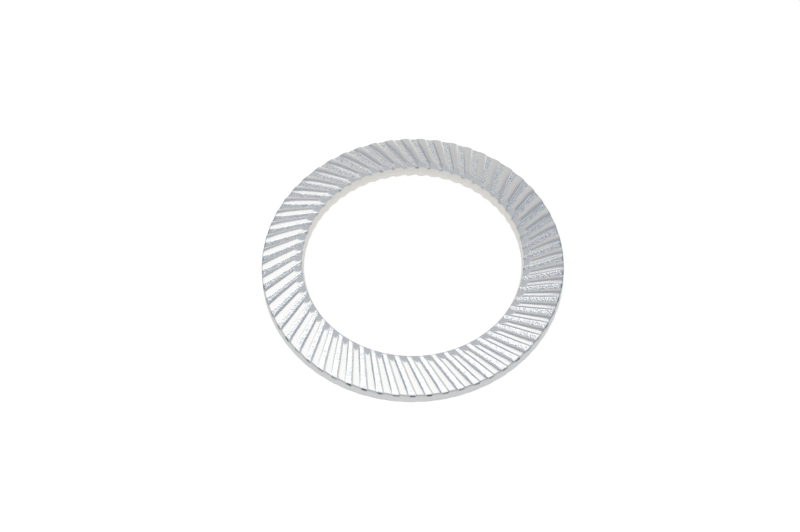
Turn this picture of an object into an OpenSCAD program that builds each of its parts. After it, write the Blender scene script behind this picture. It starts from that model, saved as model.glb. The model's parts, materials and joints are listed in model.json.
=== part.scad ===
// Ribbed conical lock washer: one stamped ring of spring steel with slanted ribs on both faces.
// The bore runs along Z, and the washer lies as it rests, on the corners of its lower ribs.

/* [Ring] */
// Diameter of the bolt hole at its upper edge
bore_d = 28.6; // [22:0.1:40]
// How far the straight part of the bolt hole stands in from its upper edge, on each side
bore_taper = 0.25; // [0.05:0.05:0.3]
// Height of the straight part of the bolt hole over the lower groove floor
bore_land = 0.7; // [0.3:0.05:0.9]
// Radial width of the ring, from the upper edge of the bolt hole to the outer edge
ring_w = 5.2; // [4:0.1:8]
// Thickness of the metal between the groove floors, along Z
core_t = 1.55; // [1:0.05:2.5]
// Height of the bore edge over the outer edge, the spring of the cone
cone_rise = 1.25; // [0.3:0.05:1.5]

/* [Ribs] */
// Number of ribs on each face
rib_count = 58; // [40:1:64]
// Height of a rib over the groove floor
rib_h = 0.27; // [0.2:0.01:0.4]
// Width of the steep flank of a rib, at the outer edge
steep_w = 0.15; // [0.1:0.01:0.3]
// Width of the flat rib top, at the outer edge
top_w = 0.5; // [0.2:0.02:0.7]
// Width of the worn shoulder beside the rib top, at the outer edge
shoulder_w = 0.3; // [0.2:0.02:0.5]
// Drop of the shoulder below the rib top
shoulder_drop = 0.045; // [0.03:0.005:0.12]
// Width of the easy flank of a rib, at the outer edge
easy_w = 0.54; // [0.3:0.02:0.7]
// Distance at which the line of a rib passes the axis, which makes the ribs lean
lean_offset = 7.2; // [2:0.1:10]

/* [Rib ends] */
// Radial length of the sloped end of a rib
run_out = 0.92; // [0.4:0.02:1.2]
// Height that is left of a rib at the tip of its sloped end
end_h = 0.05; // [0.02:0.01:0.12]

/* [Hidden] */
$fn = 96;
bore_r = bore_d / 2;
outer_r = bore_r + ring_w;
lower_bore_r = bore_r - bore_taper;
pitch_w = 2 * PI * outer_r / rib_count;
floor_w = pitch_w - steep_w - top_w - shoulder_w - easy_w;
// How far a groove cutter reaches past the metal
overcut = 0.5;
// Share of the shoulder by which a cutter carries on over the rib top
shoulder_overrun = 0.5;
// Height at which the lower rib corners touch the ground
lift = max(rib_h - cone_z(outer_r - run_out), end_h);
// The pattern starts half a pitch from the X axis
half = 0.5;
upper = 1;
lower = -1;

// Height of the cone at radius r over the cone at the outer edge
function cone_z(r) = cone_rise * (outer_r - r) / ring_w;

// Height of the groove floor at radius r on the upper or the lower face
function floor_z(face, r) = lift + cone_z(r) + (face == upper ? core_t : 0);

// Turn of a straight leaning line at radius r, from where it meets the outer edge
function lean(r) = acos(lean_offset / r) - acos(lean_offset / outer_r);

// Angle that a width spans at the outer edge
function width_angle(w) = w / outer_r * 180 / PI;

// Section of a groove cutter, as [width round the ring, height over the groove floor]
function groove_section() = let (
    shoulder_end = -floor_w - easy_w,
    rib_top = shoulder_end - shoulder_w * (1 + shoulder_overrun),
    clear_h = rib_h + overcut
) [
    [steep_w * clear_h / rib_h, clear_h],
    [0, 0],
    [-floor_w, 0],
    [shoulder_end, rib_h - shoulder_drop],
    [rib_top, rib_h + shoulder_drop * shoulder_overrun],
    [rib_top, clear_h],
];

// Points of that section at radius r, leaning one way on the upper face and the other way below
function section_at(face, r) = [
    for (p = groove_section())
        let (turn = face * (width_angle(p.x) + lean(r)))
        [r * cos(turn), r * sin(turn), floor_z(face, r) + face * p.y]
];

// One groove: a straight cutter that runs from inside the bore to outside the ring
module groove(face) {
    count = len(groove_section());
    points = concat(section_at(face, lower_bore_r - overcut), section_at(face, outer_r + overcut));
    inner_cap = [for (i = [1:count - 2]) [0, i + 1, i]];
    outer_cap = [for (i = [1:count - 2]) [count, count + i, count + i + 1]];
    sides = [
        for (i = [0:count - 1])
            let (next = (i + 1) % count)
            each [[i, next, count + i], [next, count + next, count + i]]
    ];
    polyhedron(points, concat(inner_cap, outer_cap, sides));
}

// The coined blank: the ring with both rib faces still whole and the rib ends already sloped
module blank() {
    lower_corner = outer_r - run_out;
    upper_corner = bore_r + run_out;
    rotate_extrude()
        polygon([
            [lower_bore_r, floor_z(lower, lower_bore_r) - rib_h],
            [lower_corner, floor_z(lower, lower_corner) - rib_h],
            [outer_r, floor_z(lower, outer_r) - end_h],
            [outer_r, floor_z(upper, outer_r) + rib_h],
            [upper_corner, floor_z(upper, upper_corner) + rib_h],
            [bore_r, floor_z(upper, bore_r) + end_h],
            [lower_bore_r, floor_z(lower, lower_bore_r) + bore_land],
        ]);
}

module lock_washer() {
    color("silver")
        difference() {
            blank();
            for (face = [upper, lower], i = [0:rib_count - 1])
                rotate((i + half) * 360 / rib_count)
                    groove(face);
        }
}

lock_washer();
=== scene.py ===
# %% [markdown]
# # A ribbed lock washer, from its frame to its finish
#
# The object is a small hard ring of spring steel, plated with bright zinc. Its inner edge stands
# higher than its outer edge, so the ring is a very flat cone, and both faces carry slanted ribs with
# one steep flank and one easy flank. The ribs bite into the bolt head and into the clamped part.
#
# The solid model already holds the exact construction. This lesson loads it as a fixed frame, lays a
# finer surface over it with rounded edges, gives that surface its metal, and lights it softly.

# %% Load the solid model as a fixed frame
import json

import bpy
import numpy as np
from mathutils import Matrix, Vector


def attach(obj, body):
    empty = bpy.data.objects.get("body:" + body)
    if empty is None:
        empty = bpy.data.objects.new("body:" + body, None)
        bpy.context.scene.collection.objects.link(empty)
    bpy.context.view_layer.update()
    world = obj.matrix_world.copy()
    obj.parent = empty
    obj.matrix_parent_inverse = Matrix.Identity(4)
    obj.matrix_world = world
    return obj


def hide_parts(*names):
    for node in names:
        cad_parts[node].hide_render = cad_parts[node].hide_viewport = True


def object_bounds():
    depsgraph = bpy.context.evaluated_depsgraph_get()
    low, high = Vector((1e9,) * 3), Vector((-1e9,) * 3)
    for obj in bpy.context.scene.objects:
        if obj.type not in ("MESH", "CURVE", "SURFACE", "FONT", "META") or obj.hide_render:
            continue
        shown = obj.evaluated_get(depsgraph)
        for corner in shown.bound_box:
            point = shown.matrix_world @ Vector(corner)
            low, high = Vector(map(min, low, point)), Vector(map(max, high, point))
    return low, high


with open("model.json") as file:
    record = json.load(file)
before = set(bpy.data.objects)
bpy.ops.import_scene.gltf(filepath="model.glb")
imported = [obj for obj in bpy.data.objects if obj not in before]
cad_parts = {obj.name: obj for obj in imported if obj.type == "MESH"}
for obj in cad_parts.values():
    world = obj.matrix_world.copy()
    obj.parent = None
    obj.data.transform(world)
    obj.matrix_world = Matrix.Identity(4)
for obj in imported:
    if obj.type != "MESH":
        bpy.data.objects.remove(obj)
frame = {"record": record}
solid_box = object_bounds()
print("solid model, metres:", [round(side, 5) for side in solid_box[1] - solid_box[0]])

# %% [markdown]
# ## The sizes that drive the surface
#
# A maker would measure a washer with callipers: outside, bore, thickness, cone, ribs. The outside and
# the bore are read from the frame, so that they can't drift from the solid. The small sizes of the ribs
# are written here again, in millimetres, because a rib's flank can't be read from a box. Working in
# millimetres keeps the numbers easy to picture, and one factor turns them into metres at the end.

# %% Sizes of the ring and its ribs
METRES_PER_MM = 0.001
bolt_hole = frame["record"]["mounts"][0]["dims"]
outer_r = (solid_box[1].x - solid_box[0].x) / 2 / METRES_PER_MM
lower_bore_r = bolt_hole["r_mm"]
bore_taper = 0.25
bore_land = 0.7
upper_bore_r = lower_bore_r + bore_taper
ring_w = outer_r - upper_bore_r
core_t = 1.55
cone_rise = 1.25

rib_count = 58
rib_h = 0.27
steep_w = 0.15
top_w = 0.5
shoulder_w = 0.3
easy_w = 0.54
lean_offset = 7.2
run_out = 0.92
end_h = 0.05

pitch_w = 2 * np.pi * outer_r / rib_count
floor_w = pitch_w - steep_w - top_w - shoulder_w - easy_w
print(f"ring {2 * upper_bore_r:.1f} to {2 * outer_r:.1f} mm, rib pitch {pitch_w:.3f} mm at the outer edge")

# %% [markdown]
# ## The section of one rib
#
# Cut across a rib and its outline is a chain of straight lines. The steep side comes first, in three
# slopes: the steep flank itself, a brow, and a gentle crest that climbs to the crown. Then come the flat
# top, a shoulder that rolls away, an easy flank with a steeper foot, and the groove floor. Pressed metal
# has no sharp corners, though. A bevel modifier could round them, but it would round all corners alike.
# Here each corner is a bend with its own softness: small at the steep flank, which stays crisp, and wide
# on the crown and the shoulder, which roll over.

# %% Slopes and bends of the section
steep_foot = 0.05
steep_top = 0.18
brow_end = 0.29
crown_start = 0.48
shoulder_start = steep_w + top_w
round_w = 0.4
round_drop = 0.06
shoulder_end = shoulder_start + round_w
easy_side_w = 0.4
foot_w = 0.14
easy_foot = shoulder_end + easy_side_w
foot_start = easy_foot - foot_w

brow_slope = 0.4
crest_slope = 0.2
brow_rise = brow_slope * (brow_end - steep_top) + crest_slope * (crown_start - brow_end)
steep_slope = (rib_h - brow_rise) / (steep_top - steep_foot)
shoulder_slope = -round_drop / round_w
easy_slope = -0.34
foot_slope = (easy_slope * (foot_w - easy_side_w) - rib_h + round_drop) / foot_w

# Each bend: where it is, the slope that follows it, and half the width that it is soft over
bends = [
    (steep_foot, steep_slope, 0.05),
    (steep_top, brow_slope, 0.06),
    (brow_end, crest_slope, 0.06),
    (crown_start, 0.0, 0.12),
    (shoulder_start, shoulder_slope, 0.13),
    (shoulder_end, easy_slope, 0.12),
    (foot_start, foot_slope, 0.07),
    (easy_foot, 0.0, 0.09),
]
print(f"slopes: steep flank {steep_slope:.2f}, easy flank {easy_slope:.2f}, its foot {foot_slope:.2f}")

# %% [markdown]
# ## A sum of soft ramps
#
# A chain of lines can be written as one sum: each bend adds a ramp, as steep as the slope changes there.
# A ramp that starts sharply would put a crease into the metal. So each ramp starts with a short parabola,
# which meets the flat before it and the line after it without a kink.

# %% Height of a rib across its width
def soft_ramp(distance, softness):
    """Zero before a bend, the distance itself after it, and a parabola that joins the two smoothly."""
    parabola = (distance + softness) ** 2 / (4 * softness)
    return np.where(distance < -softness, 0.0, np.where(distance > softness, distance, parabola))


def rib_section(width):
    """Height over the groove floor: a sum of soft ramps, each with the change of slope at its bend."""
    height = 0.0
    slope_before = 0.0
    for bend_w, slope_after, softness in bends:
        height = height + (slope_after - slope_before) * soft_ramp(width - bend_w, softness)
        slope_before = slope_after
    return height


print("rib height where its crown starts:", round(float(rib_section(np.array(crown_start))), 3), "mm")

# %% [markdown]
# ## Columns that follow the ribs
#
# The surface is a grid wrapped round the ring. If its columns ran straight out from the axis, they would
# cross the slanted ribs and cut the steep flanks into saw teeth. So every column leans with the ribs, and
# the columns crowd together at the bends and spread out where the metal is flat. That puts the faces
# where the eye needs them. Columns that would almost touch are left out, to save faces.

# %% Where the columns stand within one pitch
flat_before = 0.13
flat_after = 0.14
closest = 0.025
# In pitches from the X axis
first_rib = 0.5

section_start = steep_foot - floor_w / 2
at_bends = [
    np.linspace(bend_w - softness, bend_w + softness, 3)
    for bend_w, slope_after, softness in bends
]
on_floor = [[section_start, steep_foot - flat_before], [easy_foot + flat_after]]
wanted_w = np.unique(np.round(np.concatenate(at_bends + on_floor), 4))
column_w = wanted_w[np.diff(wanted_w, append=np.inf) > closest]
columns = rib_count * len(column_w)
pitch_angle = 2 * np.pi / rib_count
pitch_start = (np.arange(rib_count) + first_rib) * pitch_angle
print(len(column_w), "columns in each pitch,", columns, "round the ring")

# %% [markdown]
# ## The cone, the lean and the rib ends
#
# Three small formulas place everything. The groove floor rises in a straight line from the outer edge to
# the bore. A rib is straight, and passes the axis at a fixed distance, so the angle of its line changes
# with the radius by an arc cosine. And on the upper face each rib slopes away to almost nothing beside
# the bore, while on the lower face it does so beside the outer edge.

# %% Formulas for the cone, the lean and the rib ends
end_softness = 0.05
end_slant = 0.1
rib_middle = (steep_w + shoulder_end) / 2
lift = max(rib_h - cone_rise * run_out / ring_w, end_h)


def cone_z(radius):
    """Height of the cone over its outer edge: a straight line that rises to the bore."""
    return cone_rise * (outer_r - radius) / ring_w


def lean(radius):
    """Angle of a straight rib at a radius, from where it meets the outer edge."""
    return np.arccos(lean_offset / radius) - np.arccos(lean_offset / outer_r)


def soft_lower(first, second, softness):
    """The lower of two heights, with the crease between them rounded by a parabola."""
    mix = np.clip(0.5 + 0.5 * (second - first) / softness, 0, 1)
    return first * mix + second * (1 - mix) - softness * mix * (1 - mix)


def end_line(width, from_end):
    """Height of the end slope: it rises from the tip, and is a little longer beside the easy flank."""
    slope_length = run_out + end_slant * (width - rib_middle)
    return end_h + (rib_h - end_h) * from_end / slope_length


def rib_height(width, from_end):
    """Rib height at a distance from the edge where the ribs end: the section, cut off by the end slope."""
    cut_off = soft_lower(rib_section(width), end_line(width, from_end), end_softness)
    return np.maximum(cut_off, 0)


print(f"the ribs turn by {np.degrees(-lean(upper_bore_r)):.1f} degrees from the outer edge to the bore")

# %% [markdown]
# ## Ribs that are not all alike
#
# A pressing tool wears, so no two ribs come out quite the same: one is a little lower, the next wanders
# a hair to the side. Noise on the finished mesh would roughen it everywhere. Here each rib gets its own
# few random numbers, which bend its line in long waves. The random generator starts from a fixed number,
# so the washer is the same each time. The waves stay within four hundredths of a millimetre.

# %% Small differences from rib to rib
random_seed = 58
most_lowering = 0.07
wave_lengths = np.array([4.1, 1.7, 0.9])
wave_sizes = np.array([0.016, 0.012, 0.008])
random = np.random.default_rng(random_seed)
wave_starts = random.uniform(0, 2 * np.pi, (len(wave_lengths), rib_count))
rib_lowering = random.uniform(0.0, most_lowering, rib_count)


def wander(radius, rib):
    """How far a rib's line lies to the side of its place at a radius: a sum of three sine waves."""
    waves = zip(wave_lengths, wave_sizes, wave_starts)
    return sum(size * np.sin(2 * np.pi * radius / length + start[rib]) for length, size, start in waves)


print(f"the lowest rib is {100 * rib_lowering.max():.0f} per cent lower than the drawing")

# %% [markdown]
# ## Rows from the bore to the outer edge
#
# The rows of the grid are rings. They stand close together over the rounded edges, over the rib ends and
# beside the outer edge, and further apart along the straight ribs. The edges of a stamped ring are rolled
# over a little by the tool, so the last rows of each face follow a quarter of a small circle down to the
# wall.

# %% Radius and roll-over of each row
edge_round = 0.07
roll_angle = np.radians([0, 30, 60, 90])
roll_in = edge_round * np.sin(roll_angle)
roll_down = edge_round * (1 - np.cos(roll_angle))
end_rows = np.array([0.12, 0.24, 0.38, 0.52, 0.66, 0.78, 0.88, 0.97, 1.07, 1.25])
mouth_rows = np.array([0.95, 0.75, 0.58, 0.44, 0.33, 0.24, 0.16, 0.11])
straight_from_bore = 1.8
straight_from_rim = 1.5
straight_rows = 4


def row_radii(bore_r):
    """Radius of each row of a face, from its bore edge to its outer edge."""
    bore_side = bore_r + edge_round - roll_in[::-1]
    middle = np.linspace(bore_r + straight_from_bore, outer_r - straight_from_rim, straight_rows)
    rim_side = outer_r - edge_round + roll_in
    return np.concatenate([bore_side, bore_r + end_rows, middle, outer_r - mouth_rows, rim_side])


face_rows = len(row_radii(upper_bore_r))
flat_rows = np.zeros(face_rows - 2 * len(roll_down))
row_drop = np.concatenate([roll_down[::-1], flat_rows, roll_down])
print(face_rows, "rows on each face")

# %% [markdown]
# ## Both faces as arrays
#
# A face is a function of two parameters, the row and the column. For every crossing the formulas give
# a radius, an angle and a height at once, as whole arrays. The lower face is the upper one turned over:
# its ribs lean the other way, hang down instead of standing up, and end at the outer edge. Its bore edge
# stands in a little from the upper one, because the hole narrows downwards.
#
# At the edge where the grooves open, the tool has drawn the groove floor down and rolled off the ribs.
# Both could be sculpted. Here each is one more term in the height, so it fades in with the distance from
# the edge. The whole skin also lies a few thousandths of a millimetre inside the drawing, which keeps it
# within the solid's box.

# %% Points of the upper and the lower face
mouth_reach = 0.3
mouth_drop = 0.05
droop_reach = 1.6
droop_drop = 0.08
skin = 0.006
groove_share = 0.3


def in_groove(width):
    """1 on the groove floor, falling to 0 where a rib has reached a share of its height."""
    return np.clip(1 - rib_section(width) / (groove_share * rib_h), 0, 1)


def near_edge(distance, reach):
    """1 at an edge, falling to 0 at the reach from it, as a parabola."""
    return np.clip(1 - distance / reach, 0, 1) ** 2


def face_points(upper):
    """Every crossing of rows and columns. Height: cone plus rib, less mouth, droop, skin and roll-over."""
    side = 1 if upper else -1
    bore_r = upper_bore_r if upper else lower_bore_r
    in_pitch = column_w if upper else column_w[::-1]
    rib = np.repeat(np.arange(rib_count), len(in_pitch))
    plain_w = np.tile(in_pitch, rib_count)
    radius = np.repeat(row_radii(bore_r)[:, None], columns, axis=1)
    angle = pitch_start[rib] + side * (plain_w / outer_r + lean(radius))
    from_end = radius - bore_r if upper else outer_r - radius
    from_mouth = outer_r - radius if upper else radius - bore_r
    width = plain_w + wander(radius, rib)
    floor = lift + cone_z(radius) + (core_t if upper else 0.0)
    height = rib_height(width, from_end) * (1 - rib_lowering[rib])
    mouth = mouth_drop * near_edge(from_mouth, mouth_reach) * in_groove(width)
    droop = droop_drop * near_edge(from_mouth, droop_reach) * (1 - in_groove(width))
    z = floor + side * (height - mouth - droop - skin - row_drop[:, None])
    return {
        "radius": radius, "angle": angle, "z": z,
        "width": width, "from_end": from_end, "from_mouth": from_mouth,
    }


top_face = face_points(upper=True)
low_face = face_points(upper=False)
print("upper face", top_face["z"].shape, "highest point", round(float(top_face["z"].max()), 3), "mm")

# %% [markdown]
# ## Facing edges
#
# The two faces still need the outer wall and the bore wall between them. The ribs of the faces lean
# opposite ways, so a column of the upper face doesn't end over the same column of the lower face. At each
# wall the columns are therefore paired anew, with the nearest neighbour, by counting along the ring.

# %% Count the columns on, so that the edges face each other
def column_shift(upper_angle, lower_angle):
    """How many columns the lower face has to be counted on: the mean turn between the edges, in columns."""
    step = 2 * np.pi / columns
    return int(np.round(np.mean(upper_angle - lower_angle) / step))


def counted_on(values, shift):
    """The same ring of values, started a number of columns further on."""
    return np.roll(values, -shift, axis=-1)


def angles_on(angles, shift):
    """Angles counted on, and raised by a full turn where the count passes the seam."""
    index = np.arange(columns) + shift
    return np.take(angles, index % columns, axis=-1) + 2 * np.pi * (index // columns)


rim_shift = column_shift(top_face["angle"][-1], low_face["angle"][-1])
bore_shift = column_shift(top_face["angle"][0], low_face["angle"][0])
seam_shift = rim_shift - bore_shift
low_face = {
    name: (angles_on if name == "angle" else counted_on)(values, rim_shift)
    for name, values in low_face.items()
}
print("columns counted on at the outer wall:", rim_shift, "and at the bore:", bore_shift)

# %% [markdown]
# ## Closing the ring
#
# A punch leaves a hole in two parts: a straight part that its edge has cut, and a part that has broken out
# and widens to the far side. So the bore wall has one more ring of points, where the straight part ends.
# With both walls the grid closes into one tube with a shifted seam, with no gap and no twist.

# %% Join the faces and the walls to one grid
rim_shares = np.array([[0.3], [0.7]])
bore_shares = np.array([[0.0], [0.5]])
land_z = lift + cone_z(lower_bore_r) + bore_land


def between(start, end, shares):
    """Rows between two edges: radius, angle and height go over in straight lines."""
    return [first * (1 - shares) + last * shares for first, last in zip(start, end)]


spot_names = ["radius", "angle", "z"]
top_rim = [top_face[name][-1] for name in spot_names]
low_rim = [low_face[name][-1] for name in spot_names]
low_bore_angle = low_face["angle"][0]
top_bore = [
    counted_on(top_face["radius"][0], seam_shift),
    angles_on(top_face["angle"][0], seam_shift),
    counted_on(top_face["z"][0], seam_shift),
]
land_angle = (low_bore_angle + top_bore[1]) / 2
land_edge = [np.full(columns, lower_bore_r), land_angle, np.full(columns, land_z)]
rim_wall = between(top_rim, low_rim, rim_shares)
bore_wall = between(land_edge, top_bore, bore_shares)

ring_r, ring_angle, ring_z = [
    np.concatenate([top_face[name], rim, low_face[name][::-1], bore])
    for name, rim, bore in zip(spot_names, rim_wall, bore_wall)
]
ring_points = np.stack([ring_r * np.cos(ring_angle), ring_r * np.sin(ring_angle), ring_z], axis=-1)
rows = len(ring_points)
print(rows, "rows by", columns, "columns; the seam is shifted by", seam_shift)

# %% [markdown]
# ## From arrays to a mesh
#
# A quad joins each crossing to its neighbours in the next row and the next column. The indices are whole
# arrays as well, so there is no loop over vertices. The order of the four corners decides which way a face
# looks, and here they run so that every face looks out of the metal.

# %% Build the mesh of the washer
row_index = np.arange(rows)[:, None]
column_index = np.arange(columns)[None, :]


def corner(row_step, column_step):
    """Vertex index of the crossing some steps on, with the shifted seam after the last row."""
    row = row_index + row_step
    past_seam = row >= rows
    column = (column_index + column_step + np.where(past_seam, seam_shift, 0)) % columns
    return (row % rows) * columns + column


quads = np.stack([corner(0, 0), corner(1, 0), corner(1, 1), corner(0, 1)], axis=-1).reshape(-1, 4)
washer_mesh = bpy.data.meshes.new("washer_surface")
washer_mesh.from_pydata((ring_points.reshape(-1, 3) * METRES_PER_MM).tolist(), [], quads.tolist())
washer_mesh.polygons.foreach_set("use_smooth", np.ones(len(quads), dtype=bool))
washer_mesh.update()
washer = bpy.data.objects.new("washer_surface", washer_mesh)
bpy.context.scene.collection.objects.link(washer)
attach(washer, "root")
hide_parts("lock_washer")
print(2 * len(quads), "triangles in the washer")

# %% [markdown]
# ## Telling the metal where it is
#
# One piece of plated steel shows several finishes. The rib tops are smooth from the press, the groove
# floors are grainy and the rib ends are dull, and shade is painted into the colour where the grooves of
# the upper face run out. Painting masks by hand is one way. Here the same arrays that made the shape
# also say what each point is, so the finish and the painted shade can't slip off the form.

# %% Masks on the faces
end_blur = 0.05
end_bias = 0.7
# Reach of the painted shade in the groove mouths at the outer edge and beside the rib ends
mouth_shade_reach = 0.34
end_shade_reach = 0.4
end_shade_share = 0.8
steep_middle = (steep_foot + steep_top) / 2
steep_blur = 0.09
steep_bias = 1.3


def face_masks(face, shaded):
    """Groove floor, rib end, painted shade in the groove mouths and steep flank, each from 0 to about 1."""
    width, from_end = face["width"], face["from_end"]
    groove = in_groove(width)
    cut_away = rib_section(width) - end_line(width, from_end)
    at_mouth = np.clip(1 - face["from_mouth"] / mouth_shade_reach, 0, 1)
    at_end = np.clip(1 - from_end / end_shade_reach, 0, 1)
    return {
        "groove_floor": groove,
        "rib_end": np.clip(end_bias + cut_away / end_blur, 0, 1),
        # Painted shade: dark in the grooves at the outer edge and beside the rib ends
        "groove_mouth": shaded * (at_mouth + end_shade_share * at_end) * groove,
        "steep_flank": np.clip(steep_bias - np.abs(width - steep_middle) / steep_blur, 0, 1),
    }


# Only the upper face gets painted shade in its grooves
top_masks = face_masks(top_face, shaded=1.0)
low_masks = face_masks(low_face, shaded=0.0)
print("masks on the faces:", list(top_masks))

# %% [markdown]
# ## Walls, and masks as attributes
#
# The walls were sheared, not pressed, so they have a mask of their own, and the bore is told from the
# outer wall. A thin line of painted shade follows the outer edge of the upper face, where the
# rolled-over rim of the real washer looks dark.
# Each mask is then stored as a named attribute on the vertices, for the material to read.

# %% Masks on the walls, and all masks stored
# Where the thin line of painted shade lies inside the outer edge, and how wide it is
painted_rim_shade_in = 0.03
painted_rim_shade_w = 0.1
rim_zeros = np.zeros((len(rim_shares), columns))
bore_zeros = np.zeros((len(bore_shares), columns))
masks = {
    name: np.concatenate([top_masks[name], rim_zeros, low_masks[name][::-1], bore_zeros])
    for name in top_masks
}
rolled = np.repeat((row_drop >= 0.5 * edge_round)[:, None], columns, axis=1)
masks["sheared_wall"] = np.concatenate([rolled, rim_zeros + 1, rolled[::-1], bore_zeros + 1])
masks["bore_wall"] = ring_r < upper_bore_r + edge_round
# Painted shade along the outer edge of the upper face
rim_shade_share = np.clip(1 - np.abs(outer_r - top_face["radius"] - painted_rim_shade_in) / painted_rim_shade_w, 0, 1)
masks["rim_line"] = np.concatenate([rim_shade_share, np.zeros((rows - face_rows, columns))])
for name, values in masks.items():
    attribute = washer_mesh.attributes.new(name, "FLOAT", "POINT")
    attribute.data.foreach_set("value", values.astype(np.float32).ravel())
print("attributes:", list(masks))

# %% [markdown]
# ## Small helpers for nodes
#
# A material is a net of nodes, and each link takes a line of code. Three helpers keep that short: one adds
# a node with its settings, one does sums, and one blends two tones or two numbers by a mask. Each gives
# back the socket that the next node is fed from, so a chain of nodes reads like a chain of formulas.

# %% Node helpers
def add_node(tree, kind, **settings):
    """A new node of a kind, with its plain settings."""
    node = tree.nodes.new(kind)
    for name, value in settings.items():
        setattr(node, name, value)
    return node


def feed(tree, socket, value):
    """Link an input to another node's socket, or set it to a plain number or colour."""
    if isinstance(value, bpy.types.NodeSocket):
        tree.links.new(value, socket)
    else:
        socket.default_value = value


def math_node(tree, operation, *values, clamp=False):
    """One sum, such as MULTIPLY, on numbers or sockets. Gives the output socket."""
    node = add_node(tree, "ShaderNodeMath", operation=operation, use_clamp=clamp)
    for socket, value in zip(node.inputs, values):
        feed(tree, socket, value)
    return node.outputs[0]


def blend_node(tree, share, first, second, kind="RGBA"):
    """The first value where the share is 0, the second where it is 1. Gives the output socket."""
    node = add_node(tree, "ShaderNodeMix", data_type=kind)
    # Where this node keeps its two inputs and its output for colours and for numbers
    first_in, second_in, result = {"RGBA": (6, 7, 2), "FLOAT": (2, 3, 0)}[kind]
    for index, value in [(0, share), (first_in, first), (second_in, second)]:
        feed(tree, node.inputs[index], value)
    return node.outputs[result]


print("helpers:", [helper.__name__ for helper in (add_node, feed, math_node, blend_node)])

# %% [markdown]
# ## Grain as a node group
#
# A node group is a small machine with named sockets. This one makes the grain that a worn pressing tool
# leaves: rounded grains about a fifth of a millimetre wide, each a little higher or lower than the next.
# A picture of grain would stretch over the cone. This grain is worked out from Object coordinates, so it
# stays on the metal from every side.

# %% The grain group
grain_smoothness = 0.35
grain_detail = 2.0
fine_share = 0.8


def make_grain_group():
    """Height: one minus the distance to the middle of a grain, plus a share of fine noise."""
    tree = bpy.data.node_groups.new("pressed_grain", "ShaderNodeTree")
    tree.interface.new_socket(name="Vector", in_out="INPUT", socket_type="NodeSocketVector")
    tree.interface.new_socket(name="Grains per metre", in_out="INPUT", socket_type="NodeSocketFloat")
    for output in ("Height", "Grain"):
        tree.interface.new_socket(name=output, in_out="OUTPUT", socket_type="NodeSocketFloat")
    given = tree.nodes.new("NodeGroupInput")
    result = tree.nodes.new("NodeGroupOutput")
    cells = add_node(tree, "ShaderNodeTexVoronoi", feature="SMOOTH_F1")
    cells.inputs["Smoothness"].default_value = grain_smoothness
    noise = add_node(tree, "ShaderNodeTexNoise")
    noise.inputs["Detail"].default_value = grain_detail
    for texture in (cells, noise):
        tree.links.new(given.outputs["Vector"], texture.inputs["Vector"])
        tree.links.new(given.outputs["Grains per metre"], texture.inputs["Scale"])
    dome = math_node(tree, "SUBTRACT", 1.0, cells.outputs["Distance"])
    fine = math_node(tree, "MULTIPLY", noise.outputs["Fac"], fine_share)
    tree.links.new(math_node(tree, "ADD", dome, fine), result.inputs["Height"])
    split = add_node(tree, "ShaderNodeSeparateColor")
    tree.links.new(cells.outputs["Color"], split.inputs[0])
    tree.links.new(split.outputs[0], result.inputs["Grain"])
    return tree


grain_group = make_grain_group()
print("node group:", grain_group.name)

# %% [markdown]
# ## Bright zinc on steel
#
# Zinc plate is a metal, so nearly all of its look is reflection: Metallic is 1, and the base colour is
# what the reflection is tinted with. One material could be made for each finish, but then the borders
# between them would be sharp. Here it is one material that reads the masks. This cell starts it, with the
# masks, the grain, and a soft cloudiness such as thin plate has.

# %% The material with its masks and textures
grains_per_metre = 5200
clouds_per_metre = 700
cloud_detail = 3.0

zinc_plate = bpy.data.materials.new("zinc_plated_steel")
zinc_plate.use_nodes = True
zinc_tree = zinc_plate.node_tree
zinc_shader = zinc_tree.nodes["Principled BSDF"]
zinc_shader.inputs["Metallic"].default_value = 1.0
on_metal = add_node(zinc_tree, "ShaderNodeTexCoord").outputs["Object"]
where = {
    name: add_node(zinc_tree, "ShaderNodeAttribute", attribute_name=name).outputs["Fac"]
    for name in masks
}
grain = add_node(zinc_tree, "ShaderNodeGroup", node_tree=grain_group)
grain.inputs["Grains per metre"].default_value = grains_per_metre
zinc_tree.links.new(on_metal, grain.inputs["Vector"])
clouds = add_node(zinc_tree, "ShaderNodeTexNoise")
clouds.inputs["Scale"].default_value = clouds_per_metre
clouds.inputs["Detail"].default_value = cloud_detail
zinc_tree.links.new(on_metal, clouds.inputs["Vector"])
cloud = clouds.outputs["Fac"]
washer_mesh.materials.append(zinc_plate)
print("material:", zinc_plate.name)

# %% [markdown]
# ## The tint of the plate
#
# A cool tint fits clear passivated zinc. The grains of the groove floors differ in tone, some bluish and
# some bright, the rib ends are darker, and the sheared walls keep a warm grey. The tints are laid over
# one another in turn, each by its mask, as a painter would glaze them, and the last of them is a thin line
# of painted shade along the outer edge. More painted shade comes at the end: it darkens the groove mouths,
# broken up by the clouds.

# %% Base colour from the masks
plate_tones = (0.86, 0.86, 0.85, 1), (0.83, 0.835, 0.845, 1)
grain_tones = (0.73, 0.785, 0.85, 1), (0.96, 0.965, 0.97, 1)
wall_tones = (0.63, 0.635, 0.635, 1), (0.72, 0.7, 0.665, 1)
steep_tone = (0.86, 0.865, 0.87, 1)
rib_end_tone = (0.715, 0.73, 0.75, 1)
# Painted shade for the thin dark line along the outer edge
rim_shade_tone = (0.42, 0.44, 0.47, 1)
# Painted shade for the groove mouths
groove_shade_tone = (0.10, 0.13, 0.15, 1)
grain_contrast, grain_offset = 2.6, -0.2
shade_gain, shade_power = 1.7, 2.0

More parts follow.
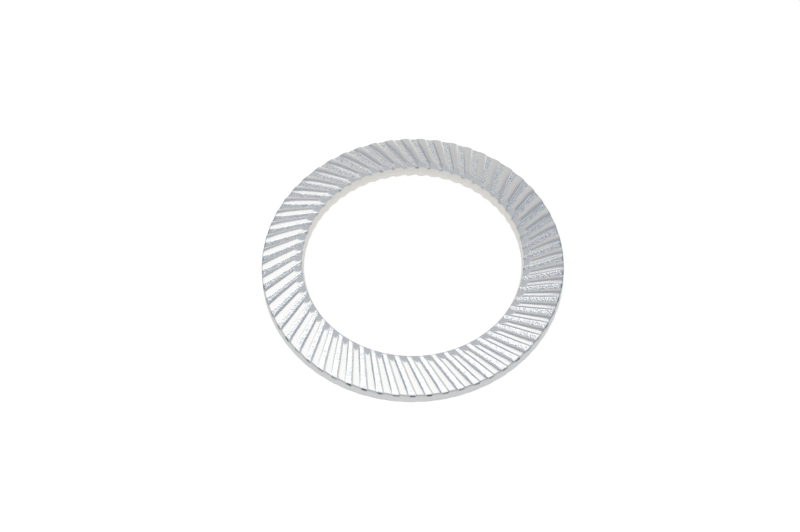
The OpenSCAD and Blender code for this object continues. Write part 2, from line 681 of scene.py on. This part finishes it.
grain_share = math_node(
    zinc_tree, "MULTIPLY_ADD", grain.outputs["Grain"], grain_contrast, grain_offset, clamp=True)
tint = blend_node(zinc_tree, cloud, *plate_tones)
grain_tint = blend_node(zinc_tree, grain_share, *grain_tones)
wall_tint = blend_node(zinc_tree, where["bore_wall"], *wall_tones)
layers = [
    ("groove_floor", grain_tint), ("steep_flank", steep_tone), ("rib_end", rib_end_tone),
    # The last layer is the painted shade along the outer edge
    ("sheared_wall", wall_tint), ("rim_line", rim_shade_tone),
]
for name, tone in layers:
    tint = blend_node(zinc_tree, where[name], tint, tone)
# Painted shade in the groove mouths, broken up by the clouds
shade_patches = math_node(zinc_tree, "MULTIPLY", cloud, shade_gain)
shade_patches = math_node(zinc_tree, "MULTIPLY", shade_patches, where["groove_mouth"])
shade_patches = math_node(zinc_tree, "POWER", shade_patches, shade_power, clamp=True)
tint = blend_node(zinc_tree, shade_patches, tint, groove_shade_tone)
zinc_tree.links.new(tint, zinc_shader.inputs["Base Color"])
print("tints:", [name for name, tone in layers])

# %% [markdown]
# ## Gloss and grain
#
# The rib tops mirror softly, the rib ends are dull, and the walls lie between. The grain is far too fine
# to be cut into the mesh, so a bump tilts the light instead. It is strong on the groove floors, where it
# scatters the light into sparkles, and only a trace of it is left on the ribs.

# %% Roughness and bump from the masks
plate_roughness = 0.24
other_roughness = [("groove_floor", 0.22), ("rib_end", 0.75), ("sheared_wall", 0.42)]
grain_depth = 0.000027
grain_on_ribs = 0.12

roughness = plate_roughness
for name, value in other_roughness:
    roughness = blend_node(zinc_tree, where[name], roughness, value, "FLOAT")
zinc_tree.links.new(roughness, zinc_shader.inputs["Roughness"])

bump = add_node(zinc_tree, "ShaderNodeBump")
bump.inputs["Strength"].default_value = 1.0
bump.inputs["Distance"].default_value = grain_depth
grainy = math_node(zinc_tree, "MAXIMUM", where["groove_floor"], grain_on_ribs)
grain_height = math_node(zinc_tree, "MULTIPLY", grain.outputs["Height"], grainy)
zinc_tree.links.new(grain_height, bump.inputs["Height"])
zinc_tree.links.new(bump.outputs["Normal"], zinc_shader.inputs["Normal"])
print("nodes in the material:", len(zinc_tree.nodes))

# %% [markdown]
# ## The camera
#
# The view looks down on the ring from 58 degrees, from about 68 centimetres away, through a long lens.
# The three axes of the camera are worked out first: right, up and back. A small roll tilts the frame as
# the photographer held it. The washer is round, so the camera may also be turned round the axis by part
# of a rib pitch to set the ribs where they are in the picture.

# %% Place the camera
elevation = np.radians(58.25)
camera_turn = np.radians(0.1)
camera_roll = 0.0196
lens_px = 5286.1
frame_px = 800
sensor_mm = 36.0
distance = 35.0 * outer_r
aim_right = -0.0845 * outer_r
aim_up = -0.0032 * outer_r
aim_z = 1.71

right = np.array([np.cos(camera_turn), np.sin(camera_turn), 0.0])
away = np.array([-np.sin(camera_turn), np.cos(camera_turn), 0.0])
upward = np.array([0.0, 0.0, 1.0])
up = np.sin(elevation) * away + np.cos(elevation) * upward
back = -np.cos(elevation) * away + np.sin(elevation) * upward
camera_spot = aim_z * upward + aim_right * right + aim_up * up + distance * back
rolled_right = np.cos(camera_roll) * right - np.sin(camera_roll) * up
rolled_up = np.sin(camera_roll) * right + np.cos(camera_roll) * up

lens = bpy.data.cameras.new("camera")
lens.sensor_width = sensor_mm
lens.lens = lens_px / frame_px * sensor_mm
lens.clip_start = 0.01
lens.clip_end = 10.0
camera = bpy.data.objects.new("camera", lens)
turned = Matrix(np.stack([rolled_right, rolled_up, back], axis=1).tolist()).to_4x4()
camera.matrix_world = Matrix.Translation(Vector(camera_spot * METRES_PER_MM)) @ turned
bpy.context.scene.collection.objects.link(camera)
bpy.context.scene.camera = camera
print(f"lens {lens.lens:.1f} mm at {distance:.0f} mm")

# %% [markdown]
# ## The floor
#
# The washer lies on plain white. A floor that only took light would need strong lamps to look white, and
# they would wash out the metal. So part of its white is a glow that only the camera and reflections see,
# and the rest is matt and takes the soft shadow of the washer.

# %% A glowing and matt floor
floor_half = 2.0
floor_glow = 0.8
floor_matt = (0.3, 0.3, 0.3, 1)


def make_floor():
    """A wide square: glow for camera, mirror and glass rays, added to matt white."""
    corners = [(x * floor_half, y * floor_half, 0) for x, y in [(-1, -1), (1, -1), (1, 1), (-1, 1)]]
    mesh = bpy.data.meshes.new("floor")
    mesh.from_pydata(corners, [], [(0, 1, 2, 3)])
    material = bpy.data.materials.new("white_floor")
    material.use_nodes = True
    tree = material.node_tree
    tree.nodes.remove(tree.nodes["Principled BSDF"])
    output = tree.nodes["Material Output"]
    rays = add_node(tree, "ShaderNodeLightPath")
    seen = math_node(tree, "MAXIMUM", rays.outputs["Is Camera Ray"], rays.outputs["Is Glossy Ray"])
    seen = math_node(tree, "MAXIMUM", seen, rays.outputs["Is Transmission Ray"])
    glow = add_node(tree, "ShaderNodeEmission")
    tree.links.new(math_node(tree, "MULTIPLY", seen, floor_glow), glow.inputs["Strength"])
    matt = add_node(tree, "ShaderNodeBsdfDiffuse")
    matt.inputs["Color"].default_value = floor_matt
    both = add_node(tree, "ShaderNodeAddShader")
    tree.links.new(glow.outputs[0], both.inputs[0])
    tree.links.new(matt.outputs[0], both.inputs[1])
    tree.links.new(both.outputs[0], output.inputs["Surface"])
    mesh.materials.append(material)
    floor = bpy.data.objects.new("floor", mesh)
    bpy.context.scene.collection.objects.link(floor)
    return floor


print("floor:", make_floor().name, 2 * floor_half, "metres wide")

# %% [markdown]
# ## Studio light
#
# Metal shows what stands round it, so the lights are shapes as much as lamps. A wide soft panel hangs
# overhead and gives the white sheen on the near ribs, and a narrow wing carries it on to the right. Paler
# panels stand behind, at the right, at the left and in front, and a faint one leans in at the far left
# corner. They give the greys of the ribs that look away from the overhead panel, and the gaps between them
# draw the dark edges. One dome of light would be simpler, but in it all flanks would look alike.

# %% The panels of light
# Name, centre, point that it looks at, width, height, brightness, colour. A hair's slant from straight
# down turns the overhead panel by nine degrees.
panel_list = [
    ("overhead_panel", (-0.15, -0.25, 1.2), (-0.149984, -0.250099, 0), 1.86, 1.7, 0.79, (1.02, 0.975, 0.9)),
    ("overhead_wing", (1.15, -0.42, 1.2), (1.15, -0.4201, 0), 0.5, 1.4, 0.6, (1.0, 0.95, 0.84)),
    ("back_panel", (0.375, 1.6, 0.615), (0.375, 0, 0.615), 2.75, 1.17, 0.32, (1.0, 0.9, 0.69)),
    ("right_panel", (1.72, -0.8, 1.1), (0, 0, 1.1), 1.5, 1.3, 0.44, (1.0, 0.93, 0.78)),
    ("left_panel", (-1.9, -0.15, 1.05), (0, -0.15, 1.05), 2.3, 1.8, 0.39, (1.0, 0.92, 0.75)),
    ("front_panel", (0.1, -1.7, 1.25), (0.1, 0, 1.25), 2.6, 1.0, 0.27, (1.0, 0.95, 0.85)),
    ("corner_panel", (-0.8, 1.0, 1.25), (0, 0, 0), 1.2, 0.9, 0.05, (1.0, 0.95, 0.85)),
]
world_color = (0.35, 0.38, 0.43, 1)


def light_panel(name, centre, look_at, width, height, brightness, color):
    """A soft rectangle of light. Its power is pi times its area times the brightness that it shows."""
    lamp = bpy.data.lights.new(name, "AREA")
    lamp.shape = "RECTANGLE"
    lamp.size = width
    lamp.size_y = height
    lamp.energy = np.pi * width * height * brightness
    lamp.color = color
    panel = bpy.data.objects.new(name, lamp)
    spot = centre[0] * right + centre[1] * away + centre[2] * upward
    target = look_at[0] * right + look_at[1] * away + look_at[2] * upward
    facing = Vector(target - spot).to_track_quat("-Z", "Y").to_matrix().to_4x4()
    panel.matrix_world = Matrix.Translation(Vector(spot)) @ facing
    bpy.context.scene.collection.objects.link(panel)
    return panel


panels = [light_panel(*panel) for panel in panel_list]
world = bpy.data.worlds.new("studio")
world.use_nodes = True
world.node_tree.nodes["Background"].inputs["Color"].default_value = world_color
bpy.context.scene.world = world
bpy.context.scene.view_settings.view_transform = "Standard"
print("lights:", [panel.name for panel in panels])
